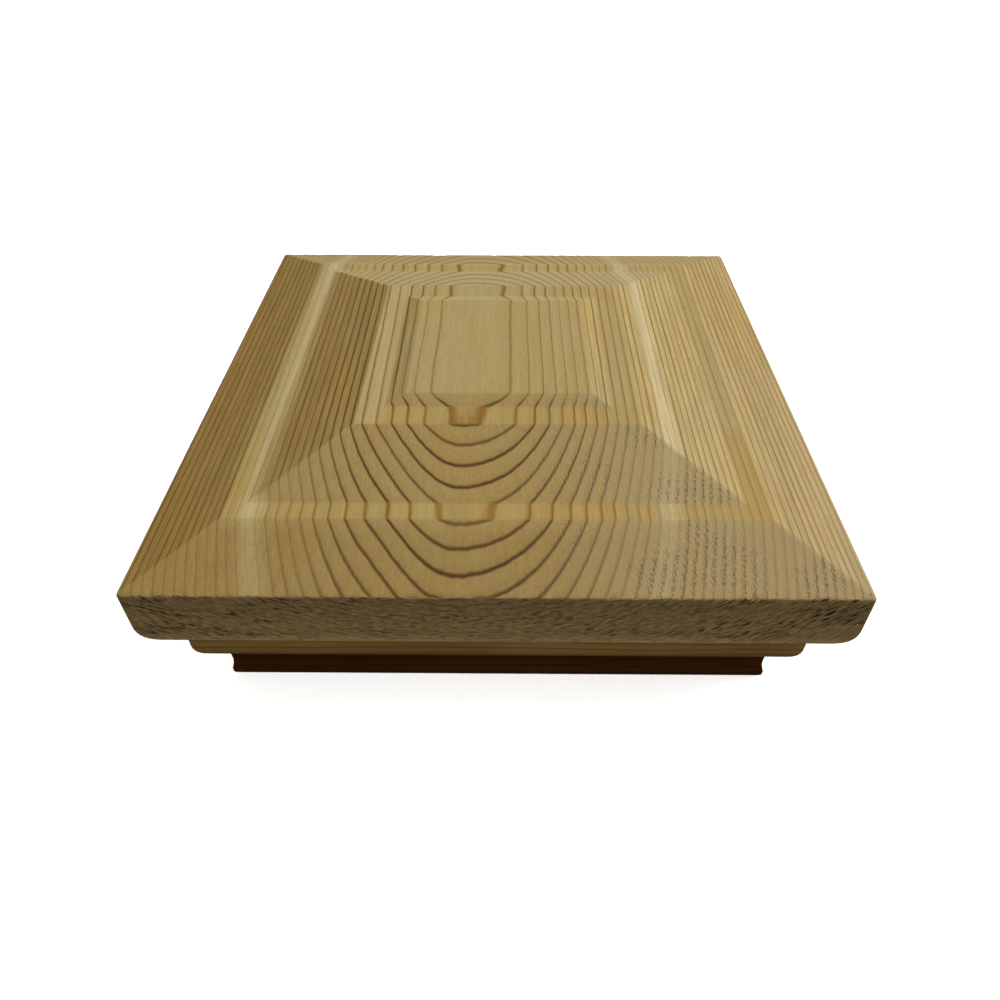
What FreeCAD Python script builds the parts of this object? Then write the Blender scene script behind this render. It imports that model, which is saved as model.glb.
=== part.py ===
"""A wooden cap for a square fence post.

A thick square board with a stepped, bevelled top sits on a mitred frame of four
moulding strips, and the post's end goes up inside that frame. Each strip is held
by brads driven up through it into the board. Every piece is its own solid.

Millimetres, +Z up. The origin is at the centre of the bottom of the moulding frame.
The board's grain runs along Y, so its front (-Y) and back (+Y) rims are end grain.
"""
import FreeCAD, Part
import math
import os

# Driving dimensions. The post is a nominal 4 x 4 inch one, planed, and the frame goes over it with room to spare.
POST_SIDE = 88.9
POST_OPENING = 92.0
BOARD_SIDE = 139.7
STRIP_HEIGHT = 19.05

# The board's rim: an upright face above a rounded lower edge.
ROUND_OVER_RADIUS = 11.6
RIM_HEIGHT = 9.4

# The board's top, from the rim inwards: the run and rise of each bevel, then the level ledge above it.
BEVELS = ((15.9, 4.5), (19.0, 5.3), (4.1, 1.05))
LEDGES = (4.3, 5.8)

# The moulding strip's outside, from its top down.
STRIP_TOP_HALF_WIDTH = 63.9
FILLET_HEIGHT = 2.2
OVOLO_RADIUS = 8.65
NECK_HALF_WIDTH = 58.9
NECK_BOTTOM = 5.2
BEAD_HALF_WIDTH = 59.5
BEAD_TOP = 2.4
NOSE_RADIUS = 1.2

# The brads: flat wire with a T head, set a little below the strip's bottom face.
BRADS_PER_STRIP = 3
BRAD_SPACING = 38.0
BRAD_LENGTH = 30.0
BRAD_WIDTH = 1.25
BRAD_THICKNESS = 1.0
BRAD_HEAD_WIDTH = 2.0
BRAD_HEAD_HEIGHT = 1.0
BRAD_SET_DEPTH = 1.0
BRAD_POINT_LENGTH = 2.5

BOARD_HALF = BOARD_SIDE / 2
POST_HALF = POST_OPENING / 2
BRAD_OFFSET = (POST_HALF + NECK_HALF_WIDTH) / 2
SIDES = {"front": 0, "right": 90, "back": 180, "left": 270}

UP = FreeCAD.Vector(0, 0, 1)
CENTRE = FreeCAD.Vector(0, 0, 0)


def section_point(out, height):
    """A point of a section through the front side, `out` from the centre towards -Y."""
    return FreeCAD.Vector(0, -out, height)


def line(start, end):
    return Part.makeLine(section_point(*start), section_point(*end))


def arc(start, middle, end):
    return Part.Arc(section_point(*start), section_point(*middle), section_point(*end)).toShape()


def polyline(points):
    return [line(start, end) for start, end in zip(points, points[1:])]


def on_circle(centre, radius, degrees):
    angle = math.radians(degrees)
    return centre[0] + radius * math.cos(angle), centre[1] + radius * math.sin(angle)


def prism(edges, half_length):
    """The closed section made of `edges`, run along X to `half_length` each way."""
    face = Part.Face(Part.Wire(edges))
    face.translate(FreeCAD.Vector(-half_length, 0, 0))
    return face.extrude(FreeCAD.Vector(2 * half_length, 0, 0))


def turned(shape, degrees):
    copy = shape.copy()
    copy.rotate(CENTRE, UP, degrees)
    return copy


def top_outline():
    """Half of the board's stepped top, from the rim's upper edge in to the centre."""
    out, height = BOARD_HALF, STRIP_HEIGHT + ROUND_OVER_RADIUS + RIM_HEIGHT
    points = [(out, height)]
    for (run, rise), ledge in zip(BEVELS, LEDGES + (0.0,)):
        out, height = out - run, height + rise
        points.append((out, height))
        if ledge:
            out -= ledge
            points.append((out, height))
    return points


def make_board():
    """Two equal prisms at right angles meet in mitres, as the board's four sides do."""
    rim_bottom = STRIP_HEIGHT + ROUND_OVER_RADIUS
    foot = BOARD_HALF - ROUND_OVER_RADIUS
    top = top_outline()
    edges = []
    for side in (1, -1):
        centre = (side * foot, rim_bottom)
        start = (side * BOARD_HALF, rim_bottom)
        end = (side * foot, STRIP_HEIGHT)
        middle = on_circle(centre, ROUND_OVER_RADIUS, 270 + side * 45)
        edges.append(arc(start, middle, end))
        edges.append(line(start, (side * BOARD_HALF, top[0][1])))
    edges.append(line((foot, STRIP_HEIGHT), (-foot, STRIP_HEIGHT)))
    edges += polyline(top + [(-out, height) for out, height in reversed(top)])
    run = prism(Part.sortEdges(edges)[0], BOARD_HALF)
    return run.common(turned(run, 90)).removeSplitter()


def strip_section():
    """The moulding's section: a fillet, an ovolo, an upright neck and a small bead at the foot."""
    ovolo_top = (STRIP_TOP_HALF_WIDTH, STRIP_HEIGHT - FILLET_HEIGHT)
    ovolo_centre = (STRIP_TOP_HALF_WIDTH - OVOLO_RADIUS, ovolo_top[1])
    ovolo_end_angle = -math.degrees(math.acos((NECK_HALF_WIDTH - ovolo_centre[0]) / OVOLO_RADIUS))
    ovolo_middle = on_circle(ovolo_centre, OVOLO_RADIUS, ovolo_end_angle / 2)
    neck_top = on_circle(ovolo_centre, OVOLO_RADIUS, ovolo_end_angle)
    neck_bottom = (NECK_HALF_WIDTH, NECK_BOTTOM)

    # The neck flares out to the bead in a shallow hollow that starts upright.
    flare_out = BEAD_HALF_WIDTH - NECK_HALF_WIDTH
    flare_drop = NECK_BOTTOM - BEAD_TOP
    flare_radius = (flare_out**2 + flare_drop**2) / (2 * flare_out)
    flare_centre = (NECK_HALF_WIDTH + flare_radius, NECK_BOTTOM)
    flare_angle = math.degrees(math.asin(flare_drop / flare_radius))
    flare_middle = on_circle(flare_centre, flare_radius, 180 + flare_angle / 2)

    bead_top = (BEAD_HALF_WIDTH, BEAD_TOP)
    nose_top = (BEAD_HALF_WIDTH, NOSE_RADIUS)
    nose_centre = (BEAD_HALF_WIDTH - NOSE_RADIUS, NOSE_RADIUS)
    nose_end = (nose_centre[0], 0.0)

    edges = [line((STRIP_TOP_HALF_WIDTH, STRIP_HEIGHT), ovolo_top)]
    edges.append(arc(ovolo_top, ovolo_middle, neck_top))
    edges.append(line(neck_top, neck_bottom))
    edges.append(arc(neck_bottom, flare_middle, bead_top))
    edges.append(line(bead_top, nose_top))
    edges.append(arc(nose_top, on_circle(nose_centre, NOSE_RADIUS, -45), nose_end))
    edges += polyline([nose_end, (POST_HALF, 0.0), (POST_HALF, STRIP_HEIGHT)])
    edges.append(line((POST_HALF, STRIP_HEIGHT), (STRIP_TOP_HALF_WIDTH, STRIP_HEIGHT)))
    return edges


def make_front_strip():
    """The front strip, its ends cut at 45 degrees where it meets its neighbours."""
    reach = STRIP_TOP_HALF_WIDTH
    corners = [CENTRE, FreeCAD.Vector(reach, -reach, 0), FreeCAD.Vector(-reach, -reach, 0), CENTRE]
    mitre = Part.Face(Part.makePolygon(corners)).extrude(UP * STRIP_HEIGHT)
    return prism(strip_section(), reach).common(mitre)


def make_brad(x):
    """One brad of the front strip, head down, with a chisel point above."""
    back = -BRAD_OFFSET - BRAD_THICKNESS / 2
    bottom = BRAD_SET_DEPTH
    tip = bottom + BRAD_LENGTH
    outline = [
        (BRAD_HEAD_WIDTH / 2, bottom),
        (BRAD_HEAD_WIDTH / 2, bottom + BRAD_HEAD_HEIGHT),
        (BRAD_WIDTH / 2, bottom + BRAD_HEAD_HEIGHT),
        (BRAD_WIDTH / 2, tip - BRAD_POINT_LENGTH),
        (BRAD_WIDTH / 8, tip),
    ]
    outline += [(-out, height) for out, height in reversed(outline)]
    corners = [FreeCAD.Vector(x + out, back, height) for out, height in outline]
    face = Part.Face(Part.makePolygon(corners + corners[:1]))
    return face.extrude(FreeCAD.Vector(0, BRAD_THICKNESS, 0))


def make_brad_hole(x):
    """What a set brad has cut: its own shape, and the pocket left under its head."""
    corner = FreeCAD.Vector(x - BRAD_HEAD_WIDTH / 2, -BRAD_OFFSET - BRAD_THICKNESS / 2, 0)
    pocket = Part.makeBox(BRAD_HEAD_WIDTH, BRAD_THICKNESS, BRAD_SET_DEPTH, corner)
    return make_brad(x).fuse(pocket)


def with_post_seat(board):
    """The board with the square of its underside that the post's end touches as a face of its own."""
    half = POST_SIDE / 2
    corners = [(half, half), (-half, half), (-half, -half), (half, -half), (half, half)]
    seat = Part.Face(Part.makePolygon([FreeCAD.Vector(x, y, STRIP_HEIGHT) for x, y in corners]))
    pieces, _ = board.generalFuse([seat])
    return pieces.Solids[0]


def build():
    nodes = {}
    board = make_board()
    strip = make_front_strip()
    first = -BRAD_SPACING * (BRADS_PER_STRIP - 1) / 2
    places = [first + BRAD_SPACING * number for number in range(BRADS_PER_STRIP)]
    holes = Part.makeCompound([make_brad_hole(x) for x in places])
    bored_strip = strip.cut(holes)
    for side, degrees in SIDES.items():
        board = board.cut(turned(holes, degrees))
        nodes["moulding_" + side] = turned(bored_strip, degrees)
        for number, x in enumerate(places, start=1):
            nodes[f"brad_{side}_{number}"] = turned(make_brad(x), degrees)
    nodes["cap_board"] = with_post_seat(board)
    return nodes


os.makedirs("parts", exist_ok=True)
for name, shape in build().items():
    shape.exportStep(f"parts/{name}.step")
    box = shape.BoundBox
    print(name, len(shape.Solids), shape.isValid(), round(shape.Volume), round(box.ZMin, 2), round(box.ZMax, 2))
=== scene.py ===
"""The looks of a wooden fence post cap: a bevelled board on a mitred moulding frame.

Lengths are millimetres, except in the studio, which is in metres. MM turns one into the other.
"""
import math

import bmesh
import bpy
import numpy as np
from mathutils import Matrix, Vector, noise


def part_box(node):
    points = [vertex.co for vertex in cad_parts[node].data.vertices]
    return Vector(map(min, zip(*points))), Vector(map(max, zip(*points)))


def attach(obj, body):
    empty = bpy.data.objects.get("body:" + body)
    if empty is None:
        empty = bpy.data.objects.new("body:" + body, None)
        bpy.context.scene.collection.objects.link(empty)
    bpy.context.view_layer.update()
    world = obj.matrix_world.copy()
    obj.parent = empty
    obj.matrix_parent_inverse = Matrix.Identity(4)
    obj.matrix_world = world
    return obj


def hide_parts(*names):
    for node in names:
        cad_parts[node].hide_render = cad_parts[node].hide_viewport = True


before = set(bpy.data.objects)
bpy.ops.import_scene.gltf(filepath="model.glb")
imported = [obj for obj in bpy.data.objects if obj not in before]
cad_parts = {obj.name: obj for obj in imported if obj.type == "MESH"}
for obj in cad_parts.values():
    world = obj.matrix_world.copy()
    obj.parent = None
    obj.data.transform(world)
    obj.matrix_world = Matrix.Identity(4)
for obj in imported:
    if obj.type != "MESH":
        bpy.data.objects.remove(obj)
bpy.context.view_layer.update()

MM = 0.001
MM_PER_METRE = 1000.0
BOARD_LOW, BOARD_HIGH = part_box("cap_board")
BOARD_HALF = BOARD_HIGH[0] / MM
BOARD_BOTTOM = BOARD_LOW[2] / MM
BOARD_TOP = BOARD_HIGH[2] / MM

# The board's section, as in the CAD model: the run and rise of each bevel from the rim inwards,
# and how wide the level ledge above it is. The last one is the top panel's own bevel.
BEVELS = ((15.9, 4.5), (19.0, 5.3), (4.1, 1.05))
LEDGES = (4.3, 5.8, 0.0)
ROUND_OVER_RADIUS = 11.6
RIM_TOP = BOARD_TOP - sum(rise for _, rise in BEVELS)

# The finish of the board's edges, and how finely its mesh follows the section.
ARRIS_RADIUS = 0.45
CORNER_RADIUS = 0.7
TOP_STEP = 0.66
RIM_STEP = 0.9
ROUND_OVER_POINTS = 19
SHARP_EDGE_DEGREES = 32

# The board's unevenness: slow waves all over, and chips along its end-grain arrises.
WAVE_LENGTH = 22.0
WAVE_DEPTH = 0.06
CHIP_REACH_IN = 1.1
CHIP_REACH_DOWN = 1.2
CHIP_DEPTH = 0.4

# The moulding strip's section, as in the CAD model, and how its ends and length are finished.
POST_HALF = 46.0
STRIP_TOP_HALF_WIDTH = 63.9
FILLET_HEIGHT = 2.2
OVOLO_RADIUS = 8.65
NECK_HALF_WIDTH = 58.9
NECK_BOTTOM = 5.2
BEAD_HALF_WIDTH = 59.5
BEAD_TOP = 2.4
NOSE_RADIUS = 1.2
MITRE_GAP = 0.002
MITRE_CHAMFER = 0.18
STRIP_STEPS = 150

# The brads.
BRAD_HEAD_HEIGHT = 1.0
BRAD_HEAD_OVERHANG = 0.375
BRAD_POINT_LENGTH = 2.5
BRAD_EDGE = 0.12

# The growth rings: near circles about an axis above the board, which runs along the grain (Y).
# Their spacing swings over the years. They are out of round in four lobes, and flatter on the left.
RING_AXIS_X = -7.9
RING_AXIS_Z = RIM_TOP + 35.8
RING_AXIS_DRIFT = 0.002
FIRST_RING = 27.25
RING_SPACING = 1.592
GROWTH_CYCLE = 27.5
GROWTH_SWING = 0.227
LOBE_DEPTH = 0.0266
LEFT_FLATTENING = 1.86
PALE_BAND_RADIUS = 51.4
PALE_BAND_HALF_WIDTH = 3.0

# A ring is counted from 0 to 1. Its late wood is darkest at the peak, and ends soon after.
LATE_WOOD_PEAK = 0.86
LATE_WOOD_END = 0.88

# How far a bevel's normal leans to one side, from not counted as sloping that way to wholly so.
SLOPING = (0.10, 0.25)

# The board's colours. A tint is what another colour is multiplied by.
EARLY_WOOD = ((0.470, 0.335, 0.119), (0.467, 0.347, 0.140))
LATE_WOOD_ON_BEVELS = (0.110, 0.052, 0.004)
LATE_WOOD_ON_LEVEL = (0.27, 0.130, 0.012)
LEVEL_BEHIND_TINT = (0.97, 1.01, 1.10)
LEVEL_IN_FRONT_TINT = (0.965, 0.945, 0.88)
LEFT_LEDGE = (0.60, 0.50, 0.28)
PALE_BAND = (0.60, 0.50, 0.27)
FLECK = (0.16, 0.085, 0.020)
# Painted sheen on the back bevels, and painted shade on the front and left ones.
BACK_BEVEL_PAINTED_SHEEN = (0.50, 0.44, 0.27)
FRONT_BEVEL_PAINTED_SHADE = (0.94, 0.895, 0.80)
LEFT_BEVEL_PAINTED_SHADE = (0.90, 0.82, 0.64)
OUTER_BEVEL_TINT = (0.93, 0.89, 0.83)
TORN_BEVEL = (0.52, 0.41, 0.23)
TEAR = (0.13, 0.070, 0.025)
END_GRAIN = ((0.29, 0.192, 0.080), (0.56, 0.392, 0.180))
END_GRAIN_LATE_WOOD = (0.11, 0.068, 0.026)
END_GRAIN_DENT = (0.05, 0.030, 0.010)

# The moulding's colours, and painted shade on each strip's neck and foot: nearly black on the front strip,
# a little darker on the others.
MOULDING_EARLY_WOOD = ((0.52, 0.305, 0.085), (0.65, 0.405, 0.122))
MOULDING_LATE_WOOD = (0.14, 0.060, 0.008)
FRONT_FOOT_PAINTED_SHADE = (0.17, 0.085, 0.035)
OTHER_FOOT_PAINTED_SHADE = (0.80, 0.72, 0.62)

# Each strip's pattern starts at its own place: the strip's turn in degrees over this.
SEED_DIVISOR = 37.0

ZINC = ((0.36, 0.37, 0.38), (0.62, 0.63, 0.63))
ZINC_SPECK = (0.10, 0.085, 0.07)


# ---------------------------------------------------------------- geometry helpers

def arc_points(centre, radius, start, end, count):
    """Points on a circle from the angle `start` to `end`, in degrees, both included."""
    angles = np.radians(np.linspace(start, end, count))
    return [(centre[0] + radius * math.cos(a), centre[1] + radius * math.sin(a)) for a in angles]


def soften(points, radius, count=4):
    """Replaces each inner corner of a polyline by a small curve that starts `radius` before it."""
    result = [points[0]]
    for before, corner, after in zip(points, points[1:], points[2:]):
        corner = Vector(corner)
        back = Vector(before) - corner
        ahead = Vector(after) - corner
        reach = min(radius, 0.4 * back.length, 0.4 * ahead.length)
        start = corner + back.normalized() * reach
        end = corner + ahead.normalized() * reach
        for step in range(count + 1):
            t = step / count
            point = start * (1 - t) ** 2 + corner * 2 * t * (1 - t) + end * t**2
            result.append(tuple(point))
    return result + [points[-1]]


def subdivide(points, longest):
    """Adds points evenly so that no stretch of a polyline is longer than `longest`."""
    result = [points[0]]
    for start, end in zip(points, points[1:]):
        steps = max(1, math.ceil(math.dist(start, end) / longest))
        for step in range(1, steps + 1):
            t = step / steps
            result.append((start[0] + (end[0] - start[0]) * t, start[1] + (end[1] - start[1]) * t))
    return result


def add_piece(name, mesh, material, slot, *nodes):
    """Puts a finished mesh in the scene in place of the CAD nodes it stands for."""
    piece = bpy.data.objects.new(name, mesh)
    bpy.context.collection.objects.link(piece)
    mesh.materials.append(material)
    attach(piece, "root")
    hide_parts(*nodes)
    return piece


def mesh_from(name, vertices, faces):
    """A closed mesh from points in millimetres, its normals pointing out."""
    mesh = bpy.data.meshes.new(name)
    mesh.from_pydata([Vector(v) * MM for v in vertices], [], faces)
    bm = bmesh.new()
    bm.from_mesh(mesh)
    bmesh.ops.recalc_face_normals(bm, faces=bm.faces)
    bm.to_mesh(mesh)
    bm.free()
    return mesh


def smooth_but_for_edges(mesh):
    mesh.shade_smooth()
    mesh.set_sharp_from_angle(angle=math.radians(SHARP_EDGE_DEGREES))


def add_brad(bm, node, bottom):
    """Adds the brad that the CAD node stands for to `bm`, its T head reaching down to `bottom`."""
    low, high = (Vector(corner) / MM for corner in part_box(node))
    size = high - low
    along_x = size.x > size.y
    head = max(size.x, size.y) / 2
    thick = min(size.x, size.y) / 2
    shank = head - BRAD_HEAD_OVERHANG
    head_top = low.z + BRAD_HEAD_HEIGHT
    outline = [(head, bottom), (head, head_top), (shank, head_top)]
    outline += [(shank, high.z - BRAD_POINT_LENGTH), (shank / 4, high.z)]
    outline += [(-out, up) for out, up in reversed(outline)]
    centre = (low + high) / 2
    corners = []
    for out, up in outline:
        if along_x:
            place = Vector((centre.x + out, centre.y - thick, up))
        else:
            place = Vector((centre.x - thick, centre.y + out, up))
        corners.append(bm.verts.new(place * MM))
    grown = bmesh.ops.extrude_face_region(bm, geom=[bm.faces.new(corners)])["geom"]
    across = Vector((0, 2 * thick, 0)) if along_x else Vector((2 * thick, 0, 0))
    moved = [element for element in grown if isinstance(element, bmesh.types.BMVert)]
    bmesh.ops.translate(bm, vec=across * MM, verts=moved)
    bmesh.ops.recalc_face_normals(bm, faces=bm.faces)


def cut_brad_holes(piece, nodes):
    """Cuts the holes that the brads fill, and the pockets under their heads, which are open below."""
    bm = bmesh.new()
    for node in nodes:
        add_brad(bm, node, bottom=-BRAD_HEAD_HEIGHT)
    cutter_mesh = bpy.data.meshes.new("brad_holes")
    bm.to_mesh(cutter_mesh)
    bm.free()
    cutter = bpy.data.objects.new("brad_holes", cutter_mesh)
    bpy.context.collection.objects.link(cutter)
    cut = piece.modifiers.new("brad_holes", "BOOLEAN")
    cut.object = cutter
    cut.operation = "DIFFERENCE"
    cut.solver = "EXACT"
    bpy.context.view_layer.update()
    evaluated = piece.evaluated_get(bpy.context.evaluated_depsgraph_get())
    bored = bpy.data.meshes.new_from_object(evaluated)
    bored.name = piece.name
    smooth_but_for_edges(bored)
    piece.modifiers.clear()
    piece.data = bored
    bpy.data.objects.remove(cutter)


# ---------------------------------------------------------------- node helpers

class Signal:
    """One output in a material's node tree. Arithmetic on signals adds Math nodes."""

    def __init__(self, tree, socket):
        self.tree = tree
        self.socket = socket

    def math(self, operation, *others):
        node = self.tree.nodes.new("ShaderNodeMath")
        node.operation = operation
        for socket, value in zip(node.inputs, (self, *others)):
            plug(self.tree, socket, value)
        return Signal(self.tree, node.outputs[0])

    def __add__(self, other):
        return self.math("ADD", other)

    def __sub__(self, other):
        return self.math("SUBTRACT", other)

    def __mul__(self, other):
        return self.math("MULTIPLY", other)

    def __truediv__(self, other):
        return self.math("DIVIDE", other)

    def __neg__(self):
        return self.math("MULTIPLY", -1.0)

    def __abs__(self):
        return self.math("ABSOLUTE")

    def inverse(self):
        """1 minus the signal."""
        return -self + 1.0

    def ramp(self, low, high, smooth=True):
        """0 below `low` and 1 above `high`; `low` may be the larger of the two."""
        node = self.tree.nodes.new("ShaderNodeMapRange")
        node.interpolation_type = "SMOOTHSTEP" if smooth else "LINEAR"
        plug(self.tree, node.inputs["Value"], self)
        plug(self.tree, node.inputs["From Min"], low)
        plug(self.tree, node.inputs["From Max"], high)
        return Signal(self.tree, node.outputs["Result"])


def plug(tree, socket, value):
    if isinstance(value, Signal):
        tree.links.new(value.socket, socket)
    else:
        socket.default_value = value


class SolidMaterial:
    """A material whose pattern is solid, in millimetres of the object's own space."""

    def __init__(self, name, along="Y"):
        self.material = bpy.data.materials.new(name)
        self.material.use_nodes = True
        self.tree = self.material.node_tree
        self.shader = self.tree.nodes["Principled BSDF"]
        coordinates = self.tree.nodes.new("ShaderNodeTexCoord")
        x, y, z = self.split(Signal(self.tree, coordinates.outputs["Object"]))
        normal_x, normal_y, normal_z = self.split(Signal(self.tree, coordinates.outputs["Normal"]))
        across_along = (x, y) if along == "Y" else (y, x)
        self.across, self.along = (axis * MM_PER_METRE for axis in across_along)
        self.up = z * MM_PER_METRE
        self.end_facing = normal_y if along == "Y" else normal_x
        self.side_facing = normal_x if along == "Y" else normal_y
        self.up_facing = normal_z

    def split(self, vector):
        node = self.tree.nodes.new("ShaderNodeSeparateXYZ")
        plug(self.tree, node.inputs[0], vector)
        return [Signal(self.tree, output) for output in node.outputs]

    def vector(self, x, y, z):
        node = self.tree.nodes.new("ShaderNodeCombineXYZ")
        for socket, value in zip(node.inputs, (x, y, z)):
            plug(self.tree, socket, value)
        return Signal(self.tree, node.outputs[0])

    def noise(self, vector, detail=2.0, roughness=0.5):
        """Noise from 0 to 1 about 0.5, with features about one unit of `vector` wide."""
        node = self.tree.nodes.new("ShaderNodeTexNoise")
        plug(self.tree, node.inputs["Vector"], vector)
        node.inputs["Scale"].default_value = 1.0
        node.inputs["Detail"].default_value = detail
        node.inputs["Roughness"].default_value = roughness
        return Signal(self.tree, node.outputs["Fac"])

    def random(self, value):
        node = self.tree.nodes.new("ShaderNodeTexWhiteNoise")
        node.noise_dimensions = "1D"
        plug(self.tree, node.inputs["W"], value)
        return Signal(self.tree, node.outputs["Value"])

    def mix(self, factor, first, second, blend="MIX"):
        node = self.tree.nodes.new("ShaderNodeMix")
        node.data_type = "RGBA"
        node.blend_type = blend
        colours = [socket for socket in node.inputs if socket.type == "RGBA"]
        plug(self.tree, node.inputs["Factor"], factor)
        for socket, value in zip(colours, (first, second)):
            plug(self.tree, socket, value if isinstance(value, Signal) else (*value, 1.0))
        result = next(socket for socket in node.outputs if socket.type == "RGBA")
        return Signal(self.tree, result)

    def tinted(self, colour, tint, where):
        """A colour multiplied by `tint`, as far as `where` says."""
        return self.mix(where, colour, self.mix(1.0, colour, tint, "MULTIPLY"))

    def bright(self, colour, factor):
        """A colour times a signal."""
        grey = self.vector(factor, factor, factor)
        return self.mix(1.0, colour, grey, "MULTIPLY")

    def streaked(self, colour, pattern, contrast):
        """A colour made darker and lighter by a pattern about 0.5."""
        return self.bright(colour, (pattern - 0.5) * contrast + 1.0)

    def finish(self, colour, roughness, height, specular):
        """Plugs the finished signals into the shader; `height` is in millimetres."""
        bump = self.tree.nodes.new("ShaderNodeBump")
        bump.inputs["Strength"].default_value = 1.0
        bump.inputs["Distance"].default_value = MM
        plug(self.tree, bump.inputs["Height"], height)
        plug(self.tree, self.shader.inputs["Base Color"], colour)
        plug(self.tree, self.shader.inputs["Roughness"], roughness)
        self.tree.links.new(bump.outputs["Normal"], self.shader.inputs["Normal"])
        self.shader.inputs["Specular IOR Level"].default_value = specular
        return self.material


# ---------------------------------------------------------------- materials

def late_wood(wood, turns, boldness, start=0.70):
    """How dark the late wood at the end of each ring is, and the place within the ring from 0 to 1."""
    turns = turns + LATE_WOOD_PEAK
    own = wood.random(turns.math("FLOOR"))
    place = turns.math("FRACT")
    faint = place.ramp(0.30, 0.85) * 0.14
    core = place.ramp(start, LATE_WOOD_PEAK) * (own * 0.27 + boldness)
    late = (faint + core) * place.ramp(1.0, LATE_WOOD_END)
    return late.math("MINIMUM", 1.0), place


def ring_pattern(wood):
    """The growth rings' radius, how much of it is the left side's flattening, and the ring count."""
    x, y, z = wood.across, wood.along, wood.up

    # Slow waves in the rings, long along the grain, and a fine unsteadiness of each line.
    slow = wood.noise(wood.vector(x / 24.0, y / 60.0, z / 24.0), detail=1.0) - 0.5
    fine = wood.noise(wood.vector(x / 1.7, y / 5.0, z / 1.7), detail=2.0) - 0.5

    # The tree's axis bends along the board, and lies a little higher over the back of the top panel.
    aside = x - RING_AXIS_X + y * RING_AXIS_DRIFT
    rise = z.ramp(BOARD_TOP - 1.0, BOARD_TOP) * y.ramp(-20.0, 20.0) * 0.4
    bend = y * (y * y * (y * 2.8e-8 + 2.9e-6) + 0.009)
    below = -(z - RING_AXIS_Z) - bend + rise

    # Out of round: four shallow lobes, by the cosine of four times the angle, and a flatter left side.
    plain_radius = (aside * aside + below * below).math("SQRT")
    cosine = below / plain_radius
    square = cosine * cosine
    lobes = (square * (square - 1.0)) * 8.0 + 1.0
    flattening = (-aside).ramp(0.0, 17.0) * LEFT_FLATTENING
    radius = plain_radius * (lobes * LOBE_DEPTH + 1.0) + flattening + slow * 0.35 + fine * 0.18

    # Growth slowed down and sped up over the years, and the youngest wood here has hardly a ring.
    past_first = radius - FIRST_RING
    swing = (past_first * (math.tau / GROWTH_CYCLE)).math("SINE") * GROWTH_SWING
    turns = past_first / RING_SPACING + swing
    turns = turns.math("MAXIMUM", turns * 0.3 - 0.35)
    return radius, flattening, turns


def board_early_wood(wood, level):
    """The pale wood between the lines, with a slow drift of hue and its own tints where it is level."""
    x, y, z = wood.across, wood.along, wood.up
    drift = wood.noise(wood.vector(x / 12.0, y / 26.0, z / 12.0), detail=2.0)
    early = wood.mix(drift.ramp(0.35, 0.65), *EARLY_WOOD)
    level_tint = wood.mix(y.ramp(-23.0, -26.0), LEVEL_BEHIND_TINT, LEVEL_IN_FRONT_TINT)
    early = wood.tinted(early, level_tint, level)
    upper_ledge = level * z.ramp(RIM_TOP + 5.0, RIM_TOP + 9.0)
    return wood.mix(upper_ledge * x.ramp(-23.0, -27.0) * 0.36, early, LEFT_LEDGE)


def end_grain_look(wood, late, end_grain):
    """The end grain's colour, with painted light on its lower part, streaks and dents. Its lines sag
    towards the middle of the board.
    """
    x, y, z = wood.across, wood.along, wood.up
    aside = x - RING_AXIS_X + y * RING_AXIS_DRIFT
    sag = z - aside * aside * 0.0055
    streaks = wood.noise(wood.vector(sag / 0.5, x / 1.8, y / 2.0), detail=3.0, roughness=0.65)
    blotches = wood.noise(wood.vector(x / 14.0, y / 2.0, z / 4.0), detail=2.0)
    torn = wood.noise(wood.vector(sag / 0.42, x / 2.1, y / 2.0 + 9.0), detail=1.0)

    # The dents are deepest and most frequent towards the corners and in the upper half.
    to_corners = abs(x).ramp(10.0, 66.0)
    dents = (torn + to_corners * 0.03).ramp(0.58, 0.63) * blotches.ramp(0.42, 0.56) * end_grain
    dents = dents * (to_corners * 0.4 + 0.6) * z.ramp(BOARD_BOTTOM + 2.0, BOARD_BOTTOM + 12.0)

    # Painted light from below: the rim is painted paler downwards, and its rounded lower edge, which faces
    # down, paler still.
    colour = wood.mix(streaks.ramp(0.30, 0.70), *END_GRAIN)
    colour = wood.bright(colour, z.ramp(RIM_TOP, BOARD_BOTTOM + 4.0, smooth=False) * 0.55 + 0.97)
    colour = wood.bright(colour, z.ramp(BOARD_BOTTOM + 11.0, BOARD_BOTTOM + 5.0) * 1.5 + 1.0)
    colour = wood.mix(late * 0.35, colour, END_GRAIN_LATE_WOOD)
    colour = wood.mix(dents * 0.95, colour, END_GRAIN_DENT)
    return colour, streaks, dents


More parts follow.
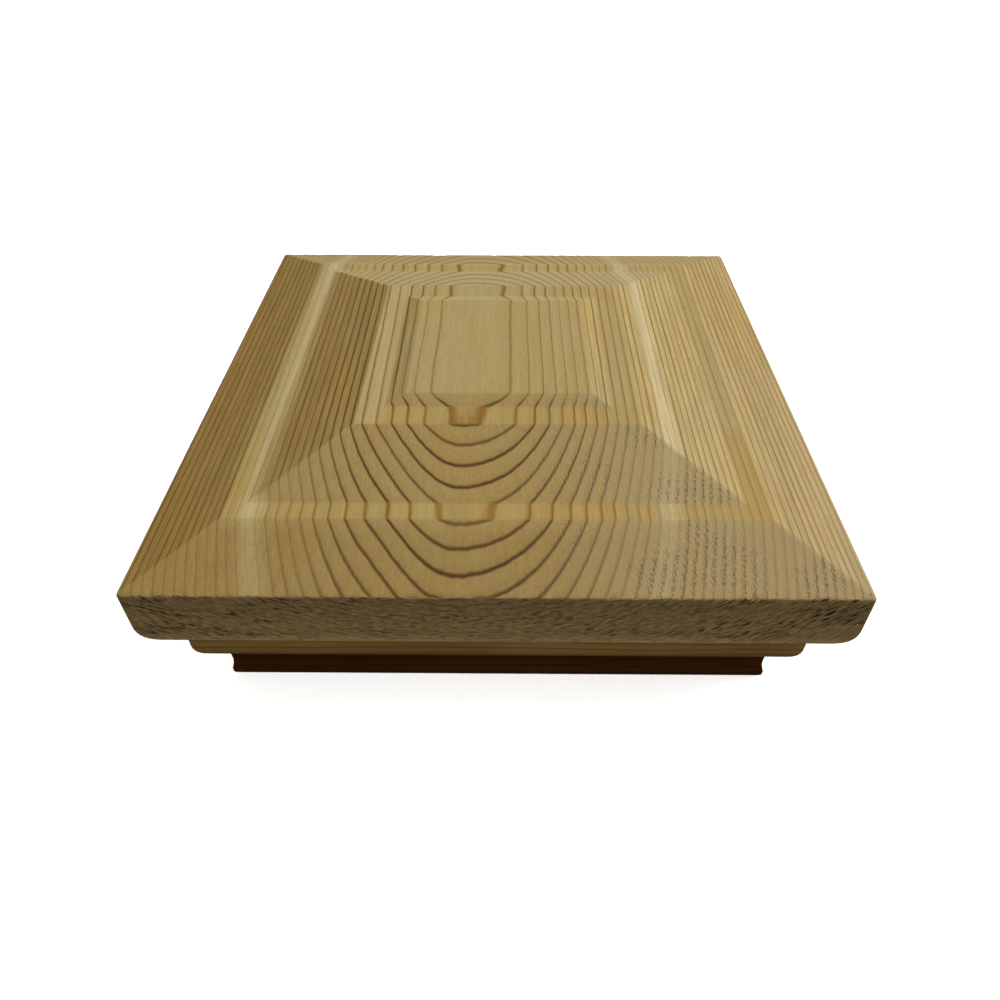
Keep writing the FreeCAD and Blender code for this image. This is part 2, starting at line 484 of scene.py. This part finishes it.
def board_material():
    """Flat-sawn wood: growth rings in depth, fibres along Y, torn grain in front, and end grain."""
    wood = SolidMaterial("flat_sawn_board")
    x, y, z = wood.across, wood.along, wood.up

    # Where each kind of surface is, from 0 to 1. `to_left` leaves out the top panel's own low bevel.
    level = wood.up_facing.ramp(0.972, 0.990)
    end_grain = abs(wood.end_facing).ramp(0.45, 0.9)
    below_panel = z.ramp(BOARD_TOP - 0.7, BOARD_TOP - 1.3)
    sanded = z.ramp(BOARD_TOP - 0.8, BOARD_TOP - 0.2)
    outer_bevel = z.ramp(RIM_TOP + 4.4, RIM_TOP + 3.4)
    on_side = abs(wood.side_facing).ramp(*SLOPING)
    to_left = (-wood.side_facing).ramp(*SLOPING) * below_panel
    in_front = (-wood.end_facing).ramp(*SLOPING)
    behind = wood.end_facing.ramp(*SLOPING)

    # The late wood is boldest near the rings' axis and on the side bevels. It is faded on the sanded
    # top panel, on the left bevels and on the left of the front ones.
    radius, flattening, turns = ring_pattern(wood)
    inner = radius.ramp(50.0, 36.0)
    boldness = inner * 0.37 + on_side * (below_panel * 0.24 - 0.12) + 0.28
    late, place = late_wood(wood, turns, boldness, start=sanded * 0.09 + inner * 0.08 + 0.62)
    faded = sanded * 0.28 + to_left * 0.10 + in_front * x.ramp(-28.0, -42.0) * 0.45
    dark = wood.mix(level, LATE_WOOD_ON_BEVELS, LATE_WOOD_ON_LEVEL)
    colour = wood.mix(late * faded.inverse(), board_early_wood(wood, level), dark)

    # One group of rings is pale.
    from_band = abs(radius - flattening * 0.6 - PALE_BAND_RADIUS)
    colour = wood.mix(from_band.ramp(PALE_BAND_HALF_WIDTH, 0.0) * 0.7, colour, PALE_BAND)

    # Fibres: fine and broader streaks along the grain, and short dark flecks.
    fibre = wood.noise(wood.vector(x / 0.30, y / 14.0, z / 0.30), detail=3.0, roughness=0.65)
    strands = wood.noise(wood.vector(x / 0.9, y / 40.0, z / 0.9), detail=2.0)
    flecks = wood.noise(wood.vector(x / 0.28, y / 3.0, z / 0.28 + 5.0), detail=0.0)
    roughly_cut = on_side * 0.5 - sanded * 0.2 + 0.5
    colour = wood.streaked(colour, fibre.ramp(0.2, 0.8, smooth=False), roughly_cut * 0.56)
    colour = wood.streaked(colour, strands.ramp(0.3, 0.7), roughly_cut * 0.20)
    colour = wood.mix(flecks.ramp(0.66, 0.76) * 0.18, colour, FLECK)

    # Painted light on the bevels: painted sheen makes the back ones paler, and painted shade makes the
    # front and left ones deeper. The outer bevel is a little deeper all round.
    colour = wood.tinted(colour, FRONT_BEVEL_PAINTED_SHADE, in_front)
    colour = wood.mix(behind * 0.30, colour, BACK_BEVEL_PAINTED_SHEEN)
    colour = wood.tinted(colour, LEFT_BEVEL_PAINTED_SHADE, to_left)
    colour = wood.tinted(colour, OUTER_BEVEL_TINT, outer_bevel)

    # Torn grain on the front bevels, mostly on the right: short dents beside the late wood.
    tear_zone = (-wood.end_facing).ramp(0.12, 0.24) * abs(wood.end_facing).ramp(0.6, 0.4)
    tear_zone = tear_zone * (x.ramp(0.0, 35.0) * 0.95 + 0.05)
    patch = wood.noise(wood.vector(x / 16.0, y / 12.0, 3.0), detail=1.0).ramp(0.38, 0.60)
    tears = wood.noise(wood.vector(x / 0.38, y / 0.9, 7.0), detail=1.0).ramp(0.48, 0.62)
    tears = tears * place.ramp(0.20, 0.70) * patch * tear_zone
    colour = wood.mix(tear_zone * 0.42, colour, TORN_BEVEL)
    colour = wood.mix(tears * 0.38, colour, TEAR)

    end_colour, streaks, dents = end_grain_look(wood, late, end_grain)
    colour = wood.mix(end_grain, colour, end_colour)
    height = late * 0.030 + fibre * 0.020 - tears * 0.16 - dents * 0.12 + streaks * end_grain * 0.08
    roughness = late * -0.10 + end_grain * 0.2 + 0.62
    return wood.finish(colour, roughness, height, specular=0.2)


def moulding_material(name, along, seed, foot_painted_shade):
    """Straight-grained wood for one strip, its grain running along the strip and painted shade on its foot.
    """
    wood = SolidMaterial(name, along)
    across, lengthwise, up = wood.across, wood.along, wood.up
    sway = wood.noise(wood.vector(across / 9.0, lengthwise / 55.0, up / 9.0 + seed), detail=1.5) - 0.5
    rings = ((up + seed * 3.0) * 0.75 + across * 0.62 + sway * 2.4) / 1.7
    late, _ = late_wood(wood, rings, boldness=0.45)
    drift = wood.noise(wood.vector(across / 8.0, lengthwise / 40.0, seed), detail=2.0)
    colour = wood.mix(drift.ramp(0.35, 0.65), *MOULDING_EARLY_WOOD)
    colour = wood.mix(late * 0.7, colour, MOULDING_LATE_WOOD)
    fibre = wood.noise(wood.vector(across / 0.25, lengthwise / 18.0, up / 0.25), detail=3.0, roughness=0.65)
    colour = wood.streaked(colour, fibre.ramp(0.2, 0.8, smooth=False), 0.30)
    outside = abs(across).ramp(NECK_HALF_WIDTH - 1.5, NECK_HALF_WIDTH - 0.5)
    # Painted shade: the neck and foot below the ovolo, on the outside, are darkened.
    colour = wood.tinted(colour, foot_painted_shade, up.ramp(10.2, 7.0) * outside)
    height = late * 0.025 + fibre * 0.025
    roughness = late * -0.08 + 0.58
    return wood.finish(colour, roughness, height, specular=0.15)


def brad_material():
    """Dull zinc on steel wire, with pale bloom and dark specks."""
    metal = SolidMaterial("zinc_coated_wire")
    x, y, z = metal.across, metal.along, metal.up
    bloom = metal.noise(metal.vector(x / 0.35, y / 0.35, z / 1.4), detail=3.0)
    specks = metal.noise(metal.vector(x / 0.12, y / 0.12, z / 0.12), detail=1.0)
    colour = metal.mix(bloom.ramp(0.35, 0.65), *ZINC)
    colour = metal.mix(specks.ramp(0.62, 0.72) * 0.6, colour, ZINC_SPECK)
    metal.shader.inputs["Metallic"].default_value = 1.0
    return metal.finish(colour, bloom * 0.35 + 0.25, bloom * 0.012, specular=0.5)


# ---------------------------------------------------------------- the board

def top_section():
    """The top's outline from the centre out to the rim, as (out, height)."""
    out, height = BOARD_HALF, RIM_TOP
    outline = [(out, height - 2 * ARRIS_RADIUS), (out, height)]
    for (run, rise), ledge in zip(BEVELS, LEDGES):
        out, height = out - run, height + rise
        outline.append((out, height))
        if ledge:
            out -= ledge
            outline.append((out, height))
    outline.append((0.0, height))
    outline.reverse()
    return subdivide(soften(outline, ARRIS_RADIUS), TOP_STEP)


def round_corner(x, y, half):
    """Moves a point near a corner of the square in, so that the corner is rounded."""
    inner = half - CORNER_RADIUS
    past_x, past_y = abs(x) - inner, abs(y) - inner
    if past_x <= 0 or past_y <= 0:
        return x, y
    shrink = max(past_x, past_y) / math.hypot(past_x, past_y)
    return math.copysign(inner + past_x * shrink, x), math.copysign(inner + past_y * shrink, y)


def worn(x, y, z):
    """A point of the board, moved in and down a little where the surface is uneven or chipped."""
    wave = noise.noise(Vector((x, y * 0.5, z)) / WAVE_LENGTH) * WAVE_DEPTH
    near_end = max(0.0, 1.0 - (BOARD_HALF - abs(y)) / CHIP_REACH_IN)
    near_arris = near_end * max(0.0, 1.0 - abs(z - RIM_TOP) / CHIP_REACH_DOWN)
    pattern = noise.noise(Vector((x / 1.1, y, z / 0.9)))
    chip = near_arris * max(0.0, pattern - 0.05) * CHIP_DEPTH
    inward = 1.0 - (max(0.0, wave + 0.05) + chip * 0.5) / BOARD_HALF
    on_underside = abs(z - BOARD_BOTTOM) < 0.01
    drop = 0.0 if on_underside else max(0.0, wave + 0.03) + chip
    return x * inward, y * inward, z - drop


def top_faces(count):
    """The faces of a grid of `count` by `count` points, split along the mitres where it is bent."""
    faces = []
    for row in range(count - 1):
        for column in range(count - 1):
            a, b = row * count + column, row * count + column + 1
            c, d = b + count, a + count
            if row == column:
                faces += [(a, b, c), (a, c, d)]
            elif row + column == count - 2:
                faces += [(a, b, d), (b, c, d)]
            else:
                faces.append((a, b, c, d))
    return faces


def grid_edge(count):
    """The points round the outside of the grid, in order."""
    edge = list(range(count))
    edge += [row * count + count - 1 for row in range(1, count)]
    edge += [(count - 1) * count + column for column in range(count - 2, -1, -1)]
    edge += [row * count for row in range(count - 2, 0, -1)]
    return edge


def make_board():
    """A square grid for the stepped top, then rings of points down the rim and round the lower edge."""
    section = top_section()

    # The grid ends where the arris turns upright, and the rim below it is made of rings of points.
    while math.isclose(section[-1][0], section[-2][0], abs_tol=1e-6):
        section.pop()
    heights = [height for _, height in section]
    lines = [-out for out, _ in reversed(section[1:])] + [out for out, _ in section]
    middle = len(section) - 1
    vertices = []
    for row, y in enumerate(lines):
        for column, x in enumerate(lines):
            farther = max(abs(row - middle), abs(column - middle))
            vertices.append((*round_corner(x, y, BOARD_HALF), heights[farther]))
    faces = top_faces(len(lines))
    edge = grid_edge(len(lines))

    round_centre = (BOARD_HALF - ROUND_OVER_RADIUS, BOARD_BOTTOM + ROUND_OVER_RADIUS)
    side = subdivide([(BOARD_HALF, heights[-1]), (BOARD_HALF, round_centre[1])], RIM_STEP)[1:]
    side += arc_points(round_centre, ROUND_OVER_RADIUS, 0, -90, ROUND_OVER_POINTS)[1:]
    top_edge = [vertices[index] for index in edge]
    ring = edge
    for out, height in side:
        start = len(vertices)
        scale = out / BOARD_HALF
        vertices += [(x * scale, y * scale, height) for x, y, _ in top_edge]
        new_ring = list(range(start, start + len(edge)))
        for index in range(len(edge)):
            after = (index + 1) % len(edge)
            faces.append((ring[index], new_ring[index], new_ring[after], ring[after]))
        ring = new_ring
    faces.append(tuple(ring))
    mesh = mesh_from("finished_board", [worn(*vertex) for vertex in vertices], faces)
    return add_piece("finished_board", mesh, board_material(), "board_wood", "cap_board")


# ---------------------------------------------------------------- the moulding strips

def strip_section():
    """The moulding's closed outline, from its top inner edge outwards and down."""
    height = BOARD_BOTTOM
    ovolo_top = (STRIP_TOP_HALF_WIDTH, height - FILLET_HEIGHT)
    ovolo_centre = (STRIP_TOP_HALF_WIDTH - OVOLO_RADIUS, ovolo_top[1])
    ovolo_end = -math.degrees(math.acos((NECK_HALF_WIDTH - ovolo_centre[0]) / OVOLO_RADIUS))
    flare_out = BEAD_HALF_WIDTH - NECK_HALF_WIDTH
    flare_drop = NECK_BOTTOM - BEAD_TOP
    flare_radius = (flare_out**2 + flare_drop**2) / (2 * flare_out)
    flare_centre = (NECK_HALF_WIDTH + flare_radius, NECK_BOTTOM)
    flare_angle = math.degrees(math.asin(flare_drop / flare_radius))
    nose_centre = (BEAD_HALF_WIDTH - NOSE_RADIUS, NOSE_RADIUS)
    outline = [(POST_HALF, height), (STRIP_TOP_HALF_WIDTH, height)]
    outline += arc_points(ovolo_centre, OVOLO_RADIUS, 0, ovolo_end, 16)
    outline += arc_points(flare_centre, flare_radius, 180, 180 + flare_angle, 5)
    outline += arc_points(nose_centre, NOSE_RADIUS, 0, -90, 7)
    outline.append((POST_HALF, 0.0))
    return outline


def unevenness(share, out, up, seed):
    """How far in the strip's moulded face is at a point, `share` of the way along it."""
    moulded = out > POST_HALF + 0.5 and 0.3 < up < BOARD_BOTTOM - 0.3
    wave = noise.noise(Vector((share * 3.0, out / 9.0, seed + up / 9.0))) * 0.05
    return max(0.0, wave) if moulded else 0.0


def make_strip(side, degrees, material):
    """One mitred strip, built as the front one and turned to its side."""
    section = strip_section()
    centre_out, centre_up = (sum(values) / len(section) for values in zip(*section))
    inner = 1.0 - MITRE_CHAMFER / STRIP_TOP_HALF_WIDTH
    stations = [(-1.0, MITRE_CHAMFER)]
    stations += [(share, 0.0) for share in np.linspace(-inner, inner, STRIP_STEPS)]
    stations.append((1.0, MITRE_CHAMFER))
    turn = Matrix.Rotation(math.radians(degrees), 3, "Z")
    vertices = []
    for share, inset in stations:
        for out, up in section:
            inwards = Vector((centre_out - out, centre_up - up)).normalized() * inset
            out, up = out + inwards.x, up + inwards.y
            depth = unevenness(share, out, up, degrees)
            vertices.append(turn @ Vector(((out - MITRE_GAP) * share, -(out - depth), up)))
    width = len(section)
    faces = []
    for start in range(0, len(vertices) - width, width):
        for index in range(width):
            after = (index + 1) % width
            faces.append((start + index, start + after, start + width + after, start + width + index))
    faces.append(tuple(range(width)))
    faces.append(tuple(range(len(vertices) - width, len(vertices))))
    name = "finished_moulding_" + side
    mesh = mesh_from(name, vertices, faces)
    return add_piece(name, mesh, material, "moulding_wood", "moulding_" + side)


# ---------------------------------------------------------------- the brads

def make_brad(node, material):
    """A T-headed brad with rounded wire edges and a chisel point, where the CAD one is."""
    bm = bmesh.new()
    add_brad(bm, node, bottom=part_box(node)[0][2] / MM)
    bmesh.ops.bevel(bm, geom=bm.edges[:], offset=BRAD_EDGE * MM, segments=2, affect="EDGES", profile=0.5)
    name = "finished_" + node
    mesh = bpy.data.meshes.new(name)
    bm.to_mesh(mesh)
    bm.free()
    smooth_but_for_edges(mesh)
    return add_piece(name, mesh, material, "brad_steel", node)


# ---------------------------------------------------------------- the studio

def make_floor():
    """A pale paper floor that throws no light back on to the cap."""
    bm = bmesh.new()
    bmesh.ops.create_grid(bm, x_segments=1, y_segments=1, size=6.0)
    mesh = bpy.data.meshes.new("floor")
    bm.to_mesh(mesh)
    bm.free()
    floor = bpy.data.objects.new("floor", mesh)
    bpy.context.collection.objects.link(floor)
    material = bpy.data.materials.new("white_paper")
    material.use_nodes = True
    shader = material.node_tree.nodes["Principled BSDF"]
    shader.inputs["Base Color"].default_value = (0.93, 0.93, 0.93, 1.0)
    shader.inputs["Roughness"].default_value = 0.9
    shader.inputs["Specular IOR Level"].default_value = 0.0
    mesh.materials.append(material)
    floor.visible_diffuse = False
    floor.visible_glossy = False
    return floor


def add_softbox(name, azimuth, elevation, distance, size, power):
    """A square lamp that faces the cap, in metres and watts. Azimuth 0 is the front and 90 the right."""
    light = bpy.data.lights.new(name, "AREA")
    light.size = size
    light.energy = power
    lamp = bpy.data.objects.new(name, light)
    bpy.context.collection.objects.link(lamp)
    a, e = math.radians(azimuth), math.radians(elevation)
    away = Vector((math.sin(a) * math.cos(e), -math.cos(a) * math.cos(e), math.sin(e)))
    target = Vector((0, 0, BOARD_BOTTOM * MM))
    lamp.location = target + away * distance
    lamp.rotation_euler = (-away).to_track_quat("-Z", "Y").to_euler()
    return lamp


def light_floor_only(lamp, floor):
    """Lets the lamp whiten the floor without lighting the cap or throwing its shadow."""
    floor_only = bpy.data.collections.new("floor_only")
    floor_only.objects.link(floor)
    lamp.light_linking.receiver_collection = floor_only
    lamp.light_linking.blocker_collection = floor_only


def make_world(horizon, zenith):
    """Even light from above that fades to almost none at the horizon and below it."""
    world = bpy.data.worlds.new("studio")
    world.use_nodes = True
    tree = world.node_tree
    coordinates = tree.nodes.new("ShaderNodeTexCoord")
    split = tree.nodes.new("ShaderNodeSeparateXYZ")
    fade = tree.nodes.new("ShaderNodeMapRange")
    tree.links.new(coordinates.outputs["Generated"], split.inputs[0])
    tree.links.new(split.outputs["Z"], fade.inputs["Value"])
    fade.inputs["To Min"].default_value = horizon
    fade.inputs["To Max"].default_value = zenith
    tree.nodes["Background"].inputs["Color"].default_value = (1.0, 0.97, 0.90, 1.0)
    tree.links.new(fade.outputs["Result"], tree.nodes["Background"].inputs["Strength"])
    bpy.context.scene.world = world


def make_camera():
    """Looks down at the front of the cap from close by."""
    data = bpy.data.cameras.new("camera")
    data.sensor_width = 36.0
    data.lens = 27.70
    data.shift_x = -0.0055
    data.shift_y = -0.0409
    data.clip_start = 0.005
    camera = bpy.data.objects.new("camera", data)
    bpy.context.collection.objects.link(camera)
    camera.location = (0.00219, -0.15996, RIM_TOP * MM + 0.11068)
    heading = Matrix.Rotation(math.radians(0.283), 3, "Z")
    tilt = Matrix.Rotation(math.radians(90 - 40.584), 3, "X")
    roll = Matrix.Rotation(math.radians(0.103), 3, "Z")
    camera.rotation_euler = (heading @ tilt @ roll).to_euler()
    bpy.context.scene.camera = camera


# ---------------------------------------------------------------- putting it together

make_camera()
floor = make_floor()
make_world(horizon=0.05, zenith=0.78)
add_softbox("key", azimuth=113, elevation=24, distance=1.5, size=1.0, power=23)
wash = add_softbox("floor_wash", azimuth=0, elevation=89, distance=2.5, size=2.5, power=75)
light_floor_only(wash, floor)
bpy.context.scene.view_settings.view_transform = "Standard"

sides = {"front": 0, "right": 90, "back": 180, "left": 270}
brads = {side: [f"brad_{side}_{number}" for number in (1, 2, 3)] for side in sides}
board = make_board()
cut_brad_holes(board, [node for nodes in brads.values() for node in nodes])
wire = brad_material()
for side, degrees in sides.items():
    along = "X" if side in ("front", "back") else "Y"
    # Painted shade for the foot: darkest on the front strip.
    foot_painted_shade = FRONT_FOOT_PAINTED_SHADE if side == "front" else OTHER_FOOT_PAINTED_SHADE
    material = moulding_material("moulding_wood_" + side, along, degrees / SEED_DIVISOR, foot_painted_shade)
    strip = make_strip(side, degrees, material)
    cut_brad_holes(strip, brads[side])
    for node in brads[side]:
        make_brad(node, wire)
